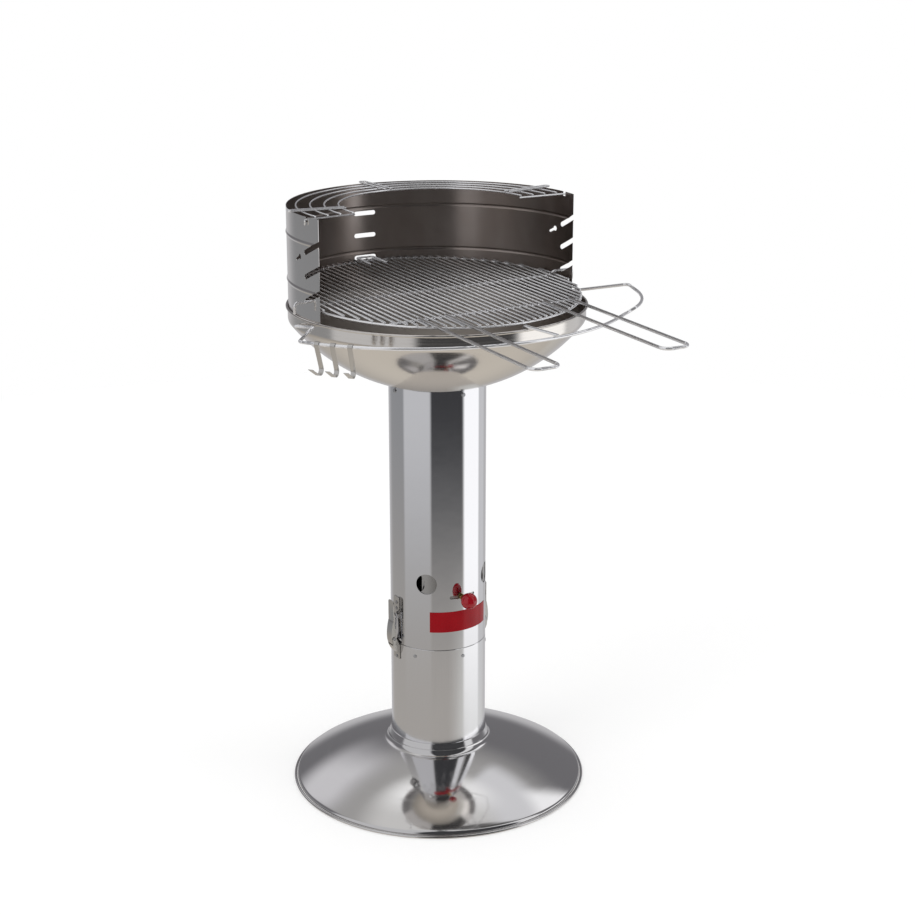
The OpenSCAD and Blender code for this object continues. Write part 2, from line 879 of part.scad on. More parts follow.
function flange_points() = concat(
  belly_low(0, lever_low_z + latch_t/2, belly_z),
  belly_top(0, lever_top_z),
  [[tab_x, lever_top_z]],
  [[bail_out - bail_r, pivot_z + 2*bail_drop]],
  arc(bail_out, bail_z, bail_r + ear_t, 180, 290)
);

module lever() {
  for (y = [-flange_out, flange_in])
    difference() {
      side_plate(flange_points(), y, ear_t);
      translate([pivot_out, y - overrun, pivot_z])
        rotate([-90, 0, 0])
          cylinder(r = pivot_r + pin_gap, h = ear_t + 2*overrun);
      translate([bail_out, y - overrun, bail_z])
        rotate([-90, 0, 0])
          cylinder(r = bail_r + pin_gap, h = ear_t + 2*overrun);
    }
  side_plate(
    concat(
      belly_low(0, lever_low_z + latch_t/2, belly_z),
      belly_top(0, lever_top_z),
      back(belly_top(latch_t, lever_top_z)),
      back(belly_low(latch_t, lever_low_z + latch_t/2, belly_z))
    ), -flange_out, lever_w);
  translate([tab_x, 0, lever_top_z - latch_t])
    rotate([90, 0, 90])
      linear_extrude(height = latch_t)
        polygon(concat(
          [[-tab_w/2, 0], [tab_w/2, 0]],
          arc(tab_w/2 - tab_corner, tab_h - tab_corner, tab_corner, 0, 90),
          arc(tab_corner - tab_w/2, tab_h - tab_corner, tab_corner, 90, 180)
        ));
}

module latch_lever_left() {
  color("silver")
    on_wall(latch_turns[0])
      lever();
}

module latch_lever_right() {
  color("silver")
    on_wall(latch_turns[1])
      lever();
}

// Wire bail: ends turned out into the lever's flanges, top bar in the keeper
module bail() {
  wire([
    [bail_out, -flange_out, bail_z],
    [bail_out, -bail_half, bail_z],
    [bail_seat_out, -bail_half, seat_z],
    [bail_seat_out, bail_half, seat_z],
    [bail_out, bail_half, bail_z],
    [bail_out, flange_out, bail_z]
  ], bail_r*1.2, bail_r);
}

module latch_bail_left() {
  color("silver")
    on_wall(latch_turns[0])
      bail();
}

module latch_bail_right() {
  color("silver")
    on_wall(latch_turns[1])
      bail();
}

// The bowl's sheet line at a depth below its outer face
function bowl_line(d) = concat(
  arc(0, dish_z, dish_r - d,
    atan2(-sqrt(pow(dish_r - d, 2) - pow(neck_in, 2)), neck_in),
    atan2(fillet_z - dish_z, fillet_c), 2*arc_steps),
  arc(fillet_c, fillet_z, bowl_fillet - d, atan2(fillet_z - dish_z, fillet_c), 0),
  [[band_r - d, rim_z - rim_r]]
);

module bowl() {
  color("lightgray")
    difference() {
      union() {
        rotate_extrude()
          polygon(concat(bowl_line(0), back(bowl_line(bowl_t))));
        tube(neck_r, neck_in, neck_z, neck_top - neck_z);
        wire_ring(rim_c, rim_r, rim_z - rim_r);
      }
      around(screw_turns())
        spoke(screw_r + pin_gap, neck_in - overrun, neck_r + overrun, screw_z);
      around(screen_screw_turns)
        spoke(screw_r + pin_gap, band_in - overrun, band_r + overrun, screen_screw_z);
      rail_end_cuts();
    }
}

function screw_turns() = [for (i = [0:screw_count - 1]) screw_first + 360*i/screw_count];

// Screw along +X through walls between inner and outer faces
module screw(inner, outer, z) {
  spoke(screw_r, inner, outer + touch, z);
  spoke(screw_head_r, outer + touch, outer + touch + screw_head_h, z);
}

// Nut along +X whose outer face lies at x
module screw_nut(x, z) {
  difference() {
    translate([x - screw_nut_h, 0, z])
      rotate([0, 90, 0])
        cylinder(r = screw_head_r, h = screw_nut_h, $fn = 6);
    spoke(screw_r + pin_gap, x - screw_nut_h - overrun, x + overrun, z);
  }
}

module bowl_screws() {
  color("silver")
    around(screw_turns())
      screw(neck_in - screw_nut_h - overrun, col_r, screw_z);
}

module bowl_nuts() {
  color("gray")
    around(screw_turns())
      screw_nut(neck_in - 2*touch, screw_z);
}

// Chord of a circle at distance x, less a margin
function half_chord(r, x) = sqrt(r*r - x*x);

module charcoal_grate() {
  color("dimgray") {
    wire_ring(grate_ring_c, grate_wire_r, grate_z);
    for (i = [-grate_bars:grate_bars]) {
      x = i*grate_pitch;
      y = half_chord(grate_ring_c, x);
      z = grate_z + 2*grate_wire_r - weld;
      bar([x, -y, z], [x, y, z], grate_wire_r);
    }
  }
}

// Outline of a bead on the windshield, at a depth below its outer face
function bead(z, d) = [
  for (i = [-arc_steps/2:arc_steps/2])
    [screen_r - d + bead_out*(1 + cos(360*i/arc_steps))/2, z + bead_half*2*i/arc_steps]
];

function screen_line(d) = concat(
  [[screen_r - d, screen_z]],
  bead(upper_bead_z - bead_pitch, d),
  bead(upper_bead_z, d),
  [[screen_r - d, screen_top]]
);

// Slot for the grid's hanger, from its seat up and out to the end edge
module grid_slot(z) {
  translate([0, -grid_slot_y, z])
    rotate([-grid_slot_turn, 0, 0]) {
      translate([-screen_r - overrun - bead_out, 0, 0])
        rotate([0, 90, 0])
          cylinder(r = grid_slot_w/2, h = 2*(screen_r + overrun + bead_out));
      translate([-screen_r - overrun - bead_out, -screen_r/4, -grid_slot_w/2])
        cube([2*(screen_r + overrun + bead_out), screen_r/4, grid_slot_w]);
    }
}

// Level slot with round ends through the rear wall
module rear_slot(z) {
  half = rear_slot_w/2 - rear_slot_h/2;
  for (x = [-half, half])
    translate([x, screen_in - 4*screen_t, z])
      rotate([-90, 0, 0])
        cylinder(r = rear_slot_h/2, h = 8*screen_t);
  translate([-half, screen_in - 4*screen_t, z - rear_slot_h/2])
    cube([2*half, 8*screen_t, rear_slot_h]);
}

// Keyhole near the end, its narrow tail sloping down towards the rear
module keyhole() {
  spoke(keyhole_r, screen_in - overrun, screen_r + overrun, keyhole_z);
  translate([screen_in - overrun, 0, keyhole_z])
    rotate([-grid_slot_turn, 0, 0]) {
      translate([0, 0, -keyhole_tail_r])
        cube([screen_t + 2*overrun, keyhole_run, 2*keyhole_tail_r]);
      translate([0, keyhole_run, 0])
        rotate([0, 90, 0])
          cylinder(r = keyhole_tail_r, h = screen_t + 2*overrun);
    }
}

module windshield() {
  color("gray")
    difference() {
      rotate([0, 0, rear - screen_turn])
        rotate_extrude(angle = 2*screen_turn)
          polygon(concat(screen_line(0), back(screen_line(screen_t))));
      for (k = [0:2])
        grid_slot(grid_slot_z + k*grid_slot_pitch);
      for (k = [0:2])
        rear_slot(rear_slot_z + k*grid_slot_pitch);
      for (m = [0, 1])
        mirror([m, 0, 0]) {
          rotate([0, 0, rear - keyhole_turn])
            keyhole();
          rotate([0, 0, rear - notch_turn])
            translate([screen_in - overrun, -notch_h/2, screen_top - notch_h])
              cube([screen_t + 2*overrun, notch_h, notch_h + overrun]);
        }
      around(screen_screw_turns)
        spoke(screw_r + pin_gap, screen_in - overrun, band_r, screen_screw_z);
      rail_end_cuts();
    }
}

module windshield_screws() {
  color("silver")
    around(screen_screw_turns)
      screw(screen_in - screw_nut_h - overrun, band_r, screen_screw_z);
}

module windshield_nuts() {
  color("gray")
    around(screen_screw_turns)
      screw_nut(screen_in - 2*touch, screen_screw_z);
}

// Route of the tool rail: left end inside the wall, corners, sweep, corners, right end
sweep_c = [sweep_x, sweep_y, rail_z];
sweep_left = sweep_c + polar(rail_front_r, sweep_start, 0);
sweep_right = sweep_c + polar(rail_front_r, sweep_end, 0);
left_along = -polar(1, sweep_start + 90, 0);
right_along = polar(1, sweep_end + 90, 0);
left_corner = sweep_left + left_along*rail_front_r*0.047;
rail_left = [
  [-band_r + 4*rail_r, band_r*0.07, rail_hole_z],
  [-band_r - 1.1*rail_bend, band_r*0.07, rail_hole_z],
  [-band_r - 3.2*rail_r, -band_r*0.187, rail_z - rim_r*2],
  left_corner
];
right_corner = sweep_right + right_along*rail_front_r*0.46;
right_tip = [band_r*1.426, -band_r*0.226, rail_z];
right_wall = [band_r*0.999, band_r*0.031, rail_hole_z];
right_end = right_wall + unit(right_wall - right_tip)*4*rail_r;
rail_right = [right_corner, right_tip, right_end];

// Room for the rail's ends in the walls that they pass
module rail_end_cuts() {
  bar(rail_left[0], rail_left[1], rail_r + 4*pin_gap);
  bar(right_tip, right_end, rail_r + 4*pin_gap);
}

module tool_rail() {
  color("silver") {
    wire(concat(rail_left, [sweep_left - left_along*bend_lap]), rail_bend, rail_r);
    wire(concat([sweep_right - right_along*bend_lap], rail_right), [rail_end_r, rail_bend], rail_r);
    translate([sweep_x, sweep_y, rail_z])
      rotate([0, 0, sweep_start])
        rotate_extrude(angle = sweep_end - sweep_start)
          translate([rail_front_r, 0])
            circle(r = rail_r + bend_swell);
  }
}

// Wire that lies on the rail and the bowl's rim and carries the grid's front edge
module grid_support() {
  rail_y = sweep_y - half_chord(rail_front_r, support_x - sweep_x);
  rim_y = -half_chord(rim_c, support_x);
  on_rail = rail_z + rail_r + support_r + 2*touch;
  on_rim = rim_z + support_r + 2*touch;
  fall = (on_rail - on_rim)/(rim_y - rail_y);
  end_y = rail_y - 2*rail_r;
  hang_y = support_in - band_in;
  hang_z = on_rim - fall*(hang_y - rim_y);
  color("silver")
    wire([
      [support_x, end_y, on_rim + fall*(rim_y - end_y)],
      [support_x, hang_y, hang_z],
      [support_x, hang_y, hang_z - support_hang]
    ], 2*support_r, support_r);
}

// A strip hook's line, x away from the bowl and z up, the rail at zero
function hook_points() =
  let (
    side = hook_t/2,
    over = [cos(hook_lean), -sin(hook_lean)],
    c = over*(hook_r + hook_curl_r) - [-over.y, over.x]*hook_drop,
    tail = [cos(hook_tail_turn), sin(hook_tail_turn)]*hook_tail,
    near = arc(c.x, c.y, hook_curl_r - side, 180 - hook_lean, 270 + hook_tail_turn),
    far = arc(c.x, c.y, hook_curl_r + side, 180 - hook_lean, 270 + hook_tail_turn)
  )
  concat(
    arc(0, 0, hook_r + side, 200, -hook_lean),
    near,
    [near[arc_steps] + tail, far[arc_steps] + tail],
    back(far),
    back(arc(0, 0, hook_r - side, 200, -hook_lean))
  );

module hook(a) {
  translate([sweep_x, sweep_y, rail_z])
    rotate([0, 0, a])
      translate([rail_front_r, 0, 0])
        side_plate(hook_points(), -hook_w/2, hook_w);
}

module hook_1() {
  color("silver")
    hook(hook_turns[0]);
}

module hook_2() {
  color("silver")
    hook(hook_turns[1]);
}

module hook_3() {
  color("silver")
    hook(hook_turns[2]);
}

// Tilts a piece of the grid about X and lifts it to its place
module grid_place() {
  translate([0, 0, grid_z])
    rotate([grid_tilt, 0, 0])
      children();
}

module cooking_grid() {
  color("lightgray")
    grid_place()
      for (i = [-grid_bars:grid_bars]) {
        x = i*bar_pitch;
        y = half_chord(grid_r, abs(x) + bar_r);
        bar([x, -y, bar_z], [x, y, bar_z], bar_r);
      }
}

// Ring under the bars' ends, and the front cross wire within it
module grid_frame() {
  x = half_chord(grid_ring_c - grid_ring_r - touch, front_wire_y + cross_r);
  color("lightgray")
    grid_place() {
      wire_ring(grid_ring_c, grid_ring_r, grid_ring_z);
      bar([-x, -front_wire_y, hanger_z], [x, -front_wire_y, hanger_z], cross_r);
    }
}

// Cross wire under the bars whose cranked ends hang in the windshield's slots
module grid_hanger() {
  color("lightgray")
    grid_place()
      wire([
        [-hanger_end_x, hanger_seat_y, hanger_seat_z - hanger_drop],
        [-hanger_end_x, hanger_seat_y, hanger_seat_z],
        [-hanger_x, hanger_seat_y, hanger_seat_z],
        [-hanger_x, hanger_y, hanger_z],
        [hanger_x, hanger_y, hanger_z],
        [hanger_x, hanger_seat_y, hanger_seat_z],
        [hanger_end_x, hanger_seat_y, hanger_seat_z],
        [hanger_end_x, hanger_seat_y, hanger_seat_z - hanger_drop]
      ], hanger_bend, cross_r);
}

// Wire loop at the rear that enters the lowest rear slot
module grid_tongue() {
  color("lightgray")
    grid_place()
      wire([
        [-tongue_half, tongue_start, tongue_z],
        [-tongue_half, tongue_y, tongue_z],
        [tongue_half, tongue_y, tongue_z],
        [tongue_half, tongue_start, tongue_z]
      ], tongue_bend, tongue_r);
}

// Wire grip whose legs lie beside grid bars
module grip(first) {
  left = first*bar_pitch + grip_side;
  right = (first + grip_bars)*bar_pitch + grip_side;
  grid_place()
    wire([
      [left, -grip_start, grip_z],
      [left, -grip_reach + grip_r, grip_z],
      [right, -grip_reach + grip_r, grip_z],
      [right, -grip_start, grip_z]
    ], grip_bend, grip_r);
}

module grid_handle_left() {
  color("lightgray")
    grip(grip_left_bar);
}

module grid_handle_right() {
  color("lightgray")
    grip(grip_right_bar);
}

module rack_arcs() {
  color("lightgray")
    for (i = [0:rack_count - 1])
      rotate([0, 0, rear - notch_turn])
        translate([0, 0, rack_z])
          rotate_extrude(angle = 2*notch_turn)
            translate([rack_r - i*rack_pitch, 0])
              circle(r = rack_wire_r);
}

// End bars through the notches, turned down outside
module rack_end_bars() {
  color("lightgray")
    around([rear - notch_turn, rear + notch_turn])
      wire([
        [rack_in - 2*rack_wire_r, 0, end_bar_z],
        [end_bar_x, 0, end_bar_z],
        [end_bar_x, 0, end_bar_z - end_bar_drop]
      ], 2*rack_wire_r, rack_wire_r);
}

// Double wires across the arcs that rest on the windshield's top edge
module rack_hairpins() {
  half = hairpin_w/2;
  color("lightgray")
    around([rear - hairpin_turn, rear, rear + hairpin_turn])
      wire([
        [rack_in - 2*rack_wire_r, -half, hairpin_z],
        [screen_r + hairpin_out - rack_wire_r, -half, hairpin_z],
        [screen_r + hairpin_out - rack_wire_r, half, hairpin_z],
        [rack_in - 2*rack_wire_r, half, hairpin_z]
      ], half*0.7, rack_wire_r);
}

base_dome();
base_bolts();
base_nuts();
lower_column();
column_sleeve();
sleeve_rivets();
ash_basin();
upper_column();
badge_band();
air_ring();
knob_stud();
knob_nut();
knob_ball();
latch_keepers();
latch_brackets();
latch_rivets();
latch_pins();
latch_lever_left();
latch_lever_right();
latch_bail_left();
latch_bail_right();
bowl();
bowl_screws();
bowl_nuts();
charcoal_grate();
windshield();
windshield_screws();
windshield_nuts();
tool_rail();
grid_support();
hook_1();
hook_2();
hook_3();
cooking_grid();
grid_frame();
grid_hanger();
grid_tongue();
grid_handle_left();
grid_handle_right();
rack_arcs();
rack_end_bars();
rack_hairpins();
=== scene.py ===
"""A stainless charcoal barbecue on a pedestal column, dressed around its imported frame."""
import json
import math

import bmesh
import bpy
from mathutils import Matrix, Vector

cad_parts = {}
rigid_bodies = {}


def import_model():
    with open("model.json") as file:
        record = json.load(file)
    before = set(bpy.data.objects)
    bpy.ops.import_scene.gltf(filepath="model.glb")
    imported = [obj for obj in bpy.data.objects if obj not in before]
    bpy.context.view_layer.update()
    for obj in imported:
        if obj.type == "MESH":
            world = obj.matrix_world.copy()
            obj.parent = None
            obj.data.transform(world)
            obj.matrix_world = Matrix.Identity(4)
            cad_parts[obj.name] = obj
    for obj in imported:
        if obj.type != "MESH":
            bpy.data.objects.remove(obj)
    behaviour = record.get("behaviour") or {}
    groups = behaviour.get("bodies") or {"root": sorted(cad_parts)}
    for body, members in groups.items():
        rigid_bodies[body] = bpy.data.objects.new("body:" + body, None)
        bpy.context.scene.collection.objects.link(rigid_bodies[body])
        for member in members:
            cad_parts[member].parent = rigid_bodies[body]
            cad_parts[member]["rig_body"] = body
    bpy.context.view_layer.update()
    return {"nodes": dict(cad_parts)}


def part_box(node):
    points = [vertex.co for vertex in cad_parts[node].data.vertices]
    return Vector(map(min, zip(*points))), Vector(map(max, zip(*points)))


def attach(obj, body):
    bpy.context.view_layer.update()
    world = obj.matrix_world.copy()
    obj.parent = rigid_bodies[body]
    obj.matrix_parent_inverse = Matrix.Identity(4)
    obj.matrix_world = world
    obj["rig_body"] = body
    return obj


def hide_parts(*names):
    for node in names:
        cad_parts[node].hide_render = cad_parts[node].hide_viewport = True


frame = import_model()
nodes = frame["nodes"]

MM = 0.001


# Sizes, taken from the frame where a CAD node has them

def low(node):
    """Lowest corner of a CAD node's box."""
    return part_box(node)[0]


def high(node):
    """Highest corner of a CAD node's box."""
    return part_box(node)[1]


COLUMN_R = high("upper_column").x
COLUMN_TOP = high("upper_column").z
JOINT_Z = low("upper_column").z
LEDGE_Z = high("base_dome").z
FOOT_R = high("base_dome").x
RIM_Z = high("bowl").z
SCREEN_LOW = low("windshield").z
SCREEN_TOP = high("windshield").z
SLOT_Z = (low("knob_ball").z + high("knob_ball").z) / 2
AIR_Z = JOINT_Z + 124.5 * MM


# Node trees

def linear(hex_colour):
    """sRGB hex to linear red, green, blue and alpha."""
    channels = [int(hex_colour[i:i + 2], 16) / 255 for i in (1, 3, 5)]
    return [c / 12.92 if c <= 0.04045 else ((c + 0.055) / 1.055) ** 2.4 for c in channels] + [1]


def add(tree, kind, inputs=None, **settings):
    """A node with its settings; each input is a value or another node's output."""
    node = tree.nodes.new(kind)
    for name, value in settings.items():
        setattr(node, name, value)
    for key, value in (inputs or {}).items():
        if isinstance(value, bpy.types.NodeSocket):
            tree.links.new(value, node.inputs[key])
        else:
            node.inputs[key].default_value = value
    return node


def surface(name, colour=None, roughness=None, metallic=1.0):
    """A material with its tree and shader; what a pattern steers needs no value here."""
    material = bpy.data.materials.new(name)
    material.use_nodes = True
    tree = material.node_tree
    shader = tree.nodes["Principled BSDF"]
    shader.inputs["Metallic"].default_value = metallic
    if colour:
        shader.inputs["Base Color"].default_value = linear(colour)
    if roughness:
        shader.inputs["Roughness"].default_value = roughness
    return material, tree, shader


def grain(tree, size, stretch=(1, 1, 1), detail=2):
    """Noise with grains this large in metres, drawn out by the stretch."""
    point = add(tree, "ShaderNodeTexCoord").outputs["Object"]
    scale = [1 / (size * s) for s in stretch]
    place = add(tree, "ShaderNodeMapping", {"Vector": point, "Scale": scale})
    noise = add(tree, "ShaderNodeTexNoise",
                {"Vector": place.outputs[0], "Scale": 1.0, "Detail": detail})
    return noise.outputs["Fac"]


def rings(tree, spacing, detail=3):
    """Noise in rings round the column's axis, as turning or spinning leaves."""
    point = add(tree, "ShaderNodeTexCoord").outputs["Object"]
    split = add(tree, "ShaderNodeSeparateXYZ", {0: point})
    flat = add(tree, "ShaderNodeCombineXYZ", {0: split.outputs[0], 1: split.outputs[1]})
    radius = add(tree, "ShaderNodeVectorMath", {0: flat.outputs[0]}, operation="LENGTH")
    line = add(tree, "ShaderNodeCombineXYZ", {0: radius.outputs["Value"], 1: split.outputs[2]})
    noise = add(tree, "ShaderNodeTexNoise",
                {"Vector": line.outputs[0], "Scale": 1 / spacing, "Detail": detail})
    return noise.outputs["Fac"]


def steer(tree, shader, pattern, rough=None, colours=None, relief=None):
    """Lets a pattern set roughness or base colour between two ends, or the relief from a depth
    and a strength."""
    low_end, high_end = 0.3, 0.7
    if rough:
        spread = add(tree, "ShaderNodeMapRange",
                     {"Value": pattern, "From Min": low_end, "From Max": high_end,
                      "To Min": rough[0], "To Max": rough[1]})
        tree.links.new(spread.outputs[0], shader.inputs["Roughness"])
    if colours:
        blend = add(tree, "ShaderNodeValToRGB", {"Fac": pattern})
        for stop, position, colour in zip(blend.color_ramp.elements, (low_end, high_end), colours):
            stop.position = position
            stop.color = linear(colour)
        tree.links.new(blend.outputs["Color"], shader.inputs["Base Color"])
    if relief:
        raised = add(tree, "ShaderNodeBump",
                     {"Height": pattern, "Distance": relief[0], "Strength": relief[1]})
        tree.links.new(raised.outputs["Normal"], shader.inputs["Normal"])


def bright_annealed():
    """Bright-annealed stainless tube of the upper column: a near mirror with faint draw lines."""
    material, tree, shader = surface("bright_annealed_stainless", "#e2e2e4")
    steer(tree, shader, grain(tree, 1.5 * MM, (1, 1, 60)), rough=(0.03, 0.065))
    steer(tree, shader, grain(tree, 45 * MM), relief=(0.12 * MM, 0.5))
    return material


def worn_annealed():
    """The lower column's tube: the same stainless, a little duller."""
    material, tree, shader = surface("dull_annealed_stainless", "#eaeaec")
    steer(tree, shader, grain(tree, 1.5 * MM, (1, 1, 60)), rough=(0.06, 0.12))
    steer(tree, shader, grain(tree, 45 * MM), relief=(0.12 * MM, 0.5))
    return material


def polished_spun():
    """Polished spun sheet of the foot: mirror-like, with fine rings and a faint haze."""
    material, tree, shader = surface("polished_spun_stainless", "#dcdbdb")
    steer(tree, shader, rings(tree, 4 * MM), rough=(0.06, 0.11))
    steer(tree, shader, rings(tree, 9 * MM, detail=1), relief=(0.03 * MM, 0.5))
    return material


def satin_spun():
    """Spun sheet of the bowl: satin, with soft wide reflections and a warm tint."""
    material, tree, shader = surface("satin_spun_stainless", "#dfdbd6")
    steer(tree, shader, rings(tree, 3 * MM), rough=(0.09, 0.16))
    steer(tree, shader, rings(tree, 5 * MM, detail=2), relief=(0.02 * MM, 0.5))
    return material


def unpolished_with_painted_shade():
    """Inside of the bowl: the same sheet, unpolished, and a little darker in colour as painted shade
    inside the bowl.
    """
    # The colour is darker than the outside sheet's to stand in for the shade inside the bowl: painted
    # shade. The rougher finish is real.
    material, tree, shader = surface("unpolished_stainless_painted_shade", "#a9a29b")
    steer(tree, shader, rings(tree, 4 * MM), rough=(0.3, 0.4))
    return material


def rolled_sheet():
    """Rolled bright sheet of the windshield: mirror-like, a little streaked by the rolls."""
    material, tree, shader = surface("rolled_stainless", "#d9d7d5")
    steer(tree, shader, grain(tree, 2 * MM, (1, 1, 40)), rough=(0.06, 0.12))
    return material


def browned_sheet():
    """Inside of the windshield: the same sheet, browned by the fire, brushed round the ring so
    that it draws what it mirrors out into upright bands."""
    material, tree, shader = surface("heat_tinted_stainless")
    shader.inputs["Anisotropic"].default_value = 0.9
    shader.inputs["Anisotropic Rotation"].default_value = 0.25
    steer(tree, shader, grain(tree, 60 * MM, (1, 1, 2)), colours=("#a0958e", "#aca39e"))
    steer(tree, shader, grain(tree, 6 * MM, (1, 1, 20)), rough=(0.29, 0.31))
    return material


def mill_sheet():
    """Mill-finish sheet of the parts inside the column: dull grey."""
    material, tree, shader = surface("mill_stainless", "#b4b3b2")
    steer(tree, shader, grain(tree, 2 * MM, (1, 1, 20)), rough=(0.26, 0.38))
    return material


def pressed_plated():
    """Pressed and nickel-plated latch parts and hooks: bright, with small tumbling marks."""
    material, tree, shader = surface("nickel_plated_steel", "#cfcdca")
    marks = grain(tree, 2.5 * MM, detail=4)
    steer(tree, shader, marks, rough=(0.07, 0.18), relief=(0.04 * MM, 0.4))
    return material


def plated_wire():
    """Nickel-plated drawn wire: pale, bright and nearly a mirror."""
    material, tree, shader = surface("bright_nickel_wire", "#f4f4f6", metallic=0.8)
    steer(tree, shader, grain(tree, 40 * MM), rough=(0.08, 0.13))
    return material


def oiled_steel():
    """Oiled steel bars of the charcoal grate: dark brown-grey."""
    material, tree, shader = surface("oiled_steel", roughness=0.45)
    marks = grain(tree, 4 * MM, detail=5)
    steer(tree, shader, marks, colours=("#46413d", "#6a645e"), relief=(0.15 * MM, 0.5))
    return material


def zinc_plate():
    """Zinc-plated fasteners: cool satin grey."""
    material, tree, shader = surface("zinc_plated_steel", "#b9babd")
    steer(tree, shader, grain(tree, 1.5 * MM, detail=4), rough=(0.2, 0.34))
    return material


def turned_brass():
    """Turned brass nut: warm yellow, with fine marks of the tool."""
    material, tree, shader = surface("turned_brass", "#d8b56a")
    steer(tree, shader, grain(tree, 1 * MM, detail=3), rough=(0.14, 0.28))
    return material


def red_film():
    """Self-adhesive vinyl film: deep red, satin, with the tube's faint unevenness."""
    material, tree, shader = surface("red_vinyl_film", roughness=0.16, metallic=0.0)
    shader.inputs["Specular IOR Level"].default_value = 0.2
    steer(tree, shader, grain(tree, 30 * MM), colours=("#880713", "#900915"))
    steer(tree, shader, grain(tree, 5 * MM), relief=(0.02 * MM, 0.3))
    return material


def red_phenolic():
    """Moulded phenolic ball knob: glossy red."""
    material, tree, shader = surface("red_phenolic", roughness=0.14, metallic=0.0)
    shader.inputs["Coat Weight"].default_value = 0.25
    shader.inputs["Coat Roughness"].default_value = 0.04
    steer(tree, shader, grain(tree, 8 * MM), colours=("#8a0314", "#920517"))
    return material


TUBE = bright_annealed()
DULL_TUBE = worn_annealed()
SPUN = polished_spun()
SATIN = satin_spun()
LINING = unpolished_with_painted_shade()
ROLLED = rolled_sheet()
BROWNED = browned_sheet()
MILL = mill_sheet()
PRESSED = pressed_plated()
WIRE = plated_wire()
IRON = oiled_steel()
ZINC = zinc_plate()
BRASS = turned_brass()
FILM = red_film()
PHENOLIC = red_phenolic()


# Making of pieces

# Points nearer than this are one
MERGE = 1e-6
# Turns a flat outline upright: its X along Y, its Y up and its depth along X
UPRIGHT = Matrix(((0, 0, 1), (1, 0, 0), (0, 1, 0))).to_4x4()


def mesh_piece(mesh, name, material, body, replaced, sharp=30, bevel=0.0):
    """Shades a mesh, rounds its sharp edges and hangs it on a body in place of CAD nodes."""
    for face in mesh.polygons:
        face.use_smooth = True
    mesh.set_sharp_from_angle(angle=math.radians(sharp))
    piece = bpy.data.objects.new(name, mesh)
    bpy.context.scene.collection.objects.link(piece)
    mesh.materials.clear()
    mesh.materials.append(material)
    if bevel:
        edge = piece.modifiers.new("edge", "BEVEL")
        edge.width = bevel
        edge.segments = 2
        edge.limit_method = "ANGLE"
        edge.angle_limit = math.radians(35)
        edge.harden_normals = True
    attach(piece, body)
    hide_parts(*replaced)
    return piece


def piece_of(bm, name, material, replaced, sharp=30):
    """The same for a bmesh of the root, with its doubles merged and its faces turned outwards."""
    bmesh.ops.remove_doubles(bm, verts=bm.verts, dist=MERGE)
    bmesh.ops.recalc_face_normals(bm, faces=bm.faces)
    mesh = bpy.data.meshes.new(name)
    bm.to_mesh(mesh)
    bm.free()
    return mesh_piece(mesh, name, material, "root", replaced, sharp)


def arc(x, z, r, start, end, steps=16):
    """Points of an arc in degrees, in the plane of radius and height."""
    angles = [math.radians(start + (end - start) * i / steps) for i in range(steps + 1)]
    return [(x + r * math.cos(a), z + r * math.sin(a)) for a in angles]


def lathe(bm, line, steps=192, start=0.0, turn=360.0):
    """Spins a closed outline of (radius, height) round the axis, in degrees."""
    first = math.radians(start)
    verts = [bm.verts.new((r * math.cos(first), r * math.sin(first), z)) for r, z in line]
    edges = [bm.edges.new(pair) for pair in zip(verts, verts[1:] + verts[:1])]
    full = turn == 360.0
    bmesh.ops.spin(bm, geom=verts + edges, cent=(0, 0, 0), axis=(0, 0, 1),
                   angle=math.radians(turn), steps=steps, use_merge=full, use_duplicate=False)
    if not full:
        bmesh.ops.holes_fill(bm, edges=[e for e in bm.edges if e.is_boundary], sides=0)


def prism(bm, outline, depth, matrix):
    """Adds an outline of (x, y) points, raised by a depth along Z and placed by a matrix."""
    face = bm.faces.new([bm.verts.new((x, y, 0)) for x, y in outline])
    grown = bmesh.ops.extrude_face_region(bm, geom=[face])["geom"]
    tops = [item for item in grown if isinstance(item, bmesh.types.BMVert)]
    bmesh.ops.translate(bm, verts=tops, vec=(0, 0, depth))
    bmesh.ops.transform(bm, matrix=matrix, verts=list(face.verts) + tops)


def on_wall(turn, z, reach):
    """Places X to the right, as seen from outside, Y up and Z outwards on a wall at this turn in
    degrees."""
    return (Matrix.Rotation(math.radians(turn), 4, "Z") @ Matrix.Translation((reach, 0, z))
            @ UPRIGHT)


def slot_line(width, left, right):
    """Outline of a level slot whose round ends are centred at left and right."""
    return arc(right, 0, width / 2, -90, 90, 12) + arc(left, 0, width / 2, 90, 270, 12)


def cut(piece, bm):
    """Cuts the shapes in a bmesh out of a piece."""
    bmesh.ops.recalc_face_normals(bm, faces=bm.faces)
    mesh = bpy.data.meshes.new("cutter")
    bm.to_mesh(mesh)
    bm.free()
    cutter = bpy.data.objects.new("cutter", mesh)
    bpy.context.scene.collection.objects.link(cutter)
    tool = piece.modifiers.new("cut", "BOOLEAN")
    tool.operation = "DIFFERENCE"
    tool.solver = "EXACT"
    tool.object = cutter
    bpy.context.view_layer.update()
    graph = bpy.context.evaluated_depsgraph_get()
    piece.data = bpy.data.meshes.new_from_object(piece.evaluated_get(graph))
    piece.modifiers.clear()
    bpy.data.objects.remove(cutter)


def true_round(piece):
    """Gives upright round walls their exact normals, so that they mirror like a rolled sheet."""
    wall = math.cos(math.radians(10))
    mesh = piece.data
    normals = [Vector(n.vector) for n in mesh.corner_normals]
    for face in mesh.polygons:
        middle = Vector((face.center.x, face.center.y, 0)).normalized()
        facing = face.normal.dot(middle)
        if abs(facing) < wall:
            continue
        for corner in face.loop_indices:
            spot = mesh.vertices[mesh.loops[corner].vertex_index].co
            radial = Vector((spot.x, spot.y, 0)).normalized()
            normals[corner] = radial if facing > 0 else -radial
    mesh.normals_split_custom_set(normals)


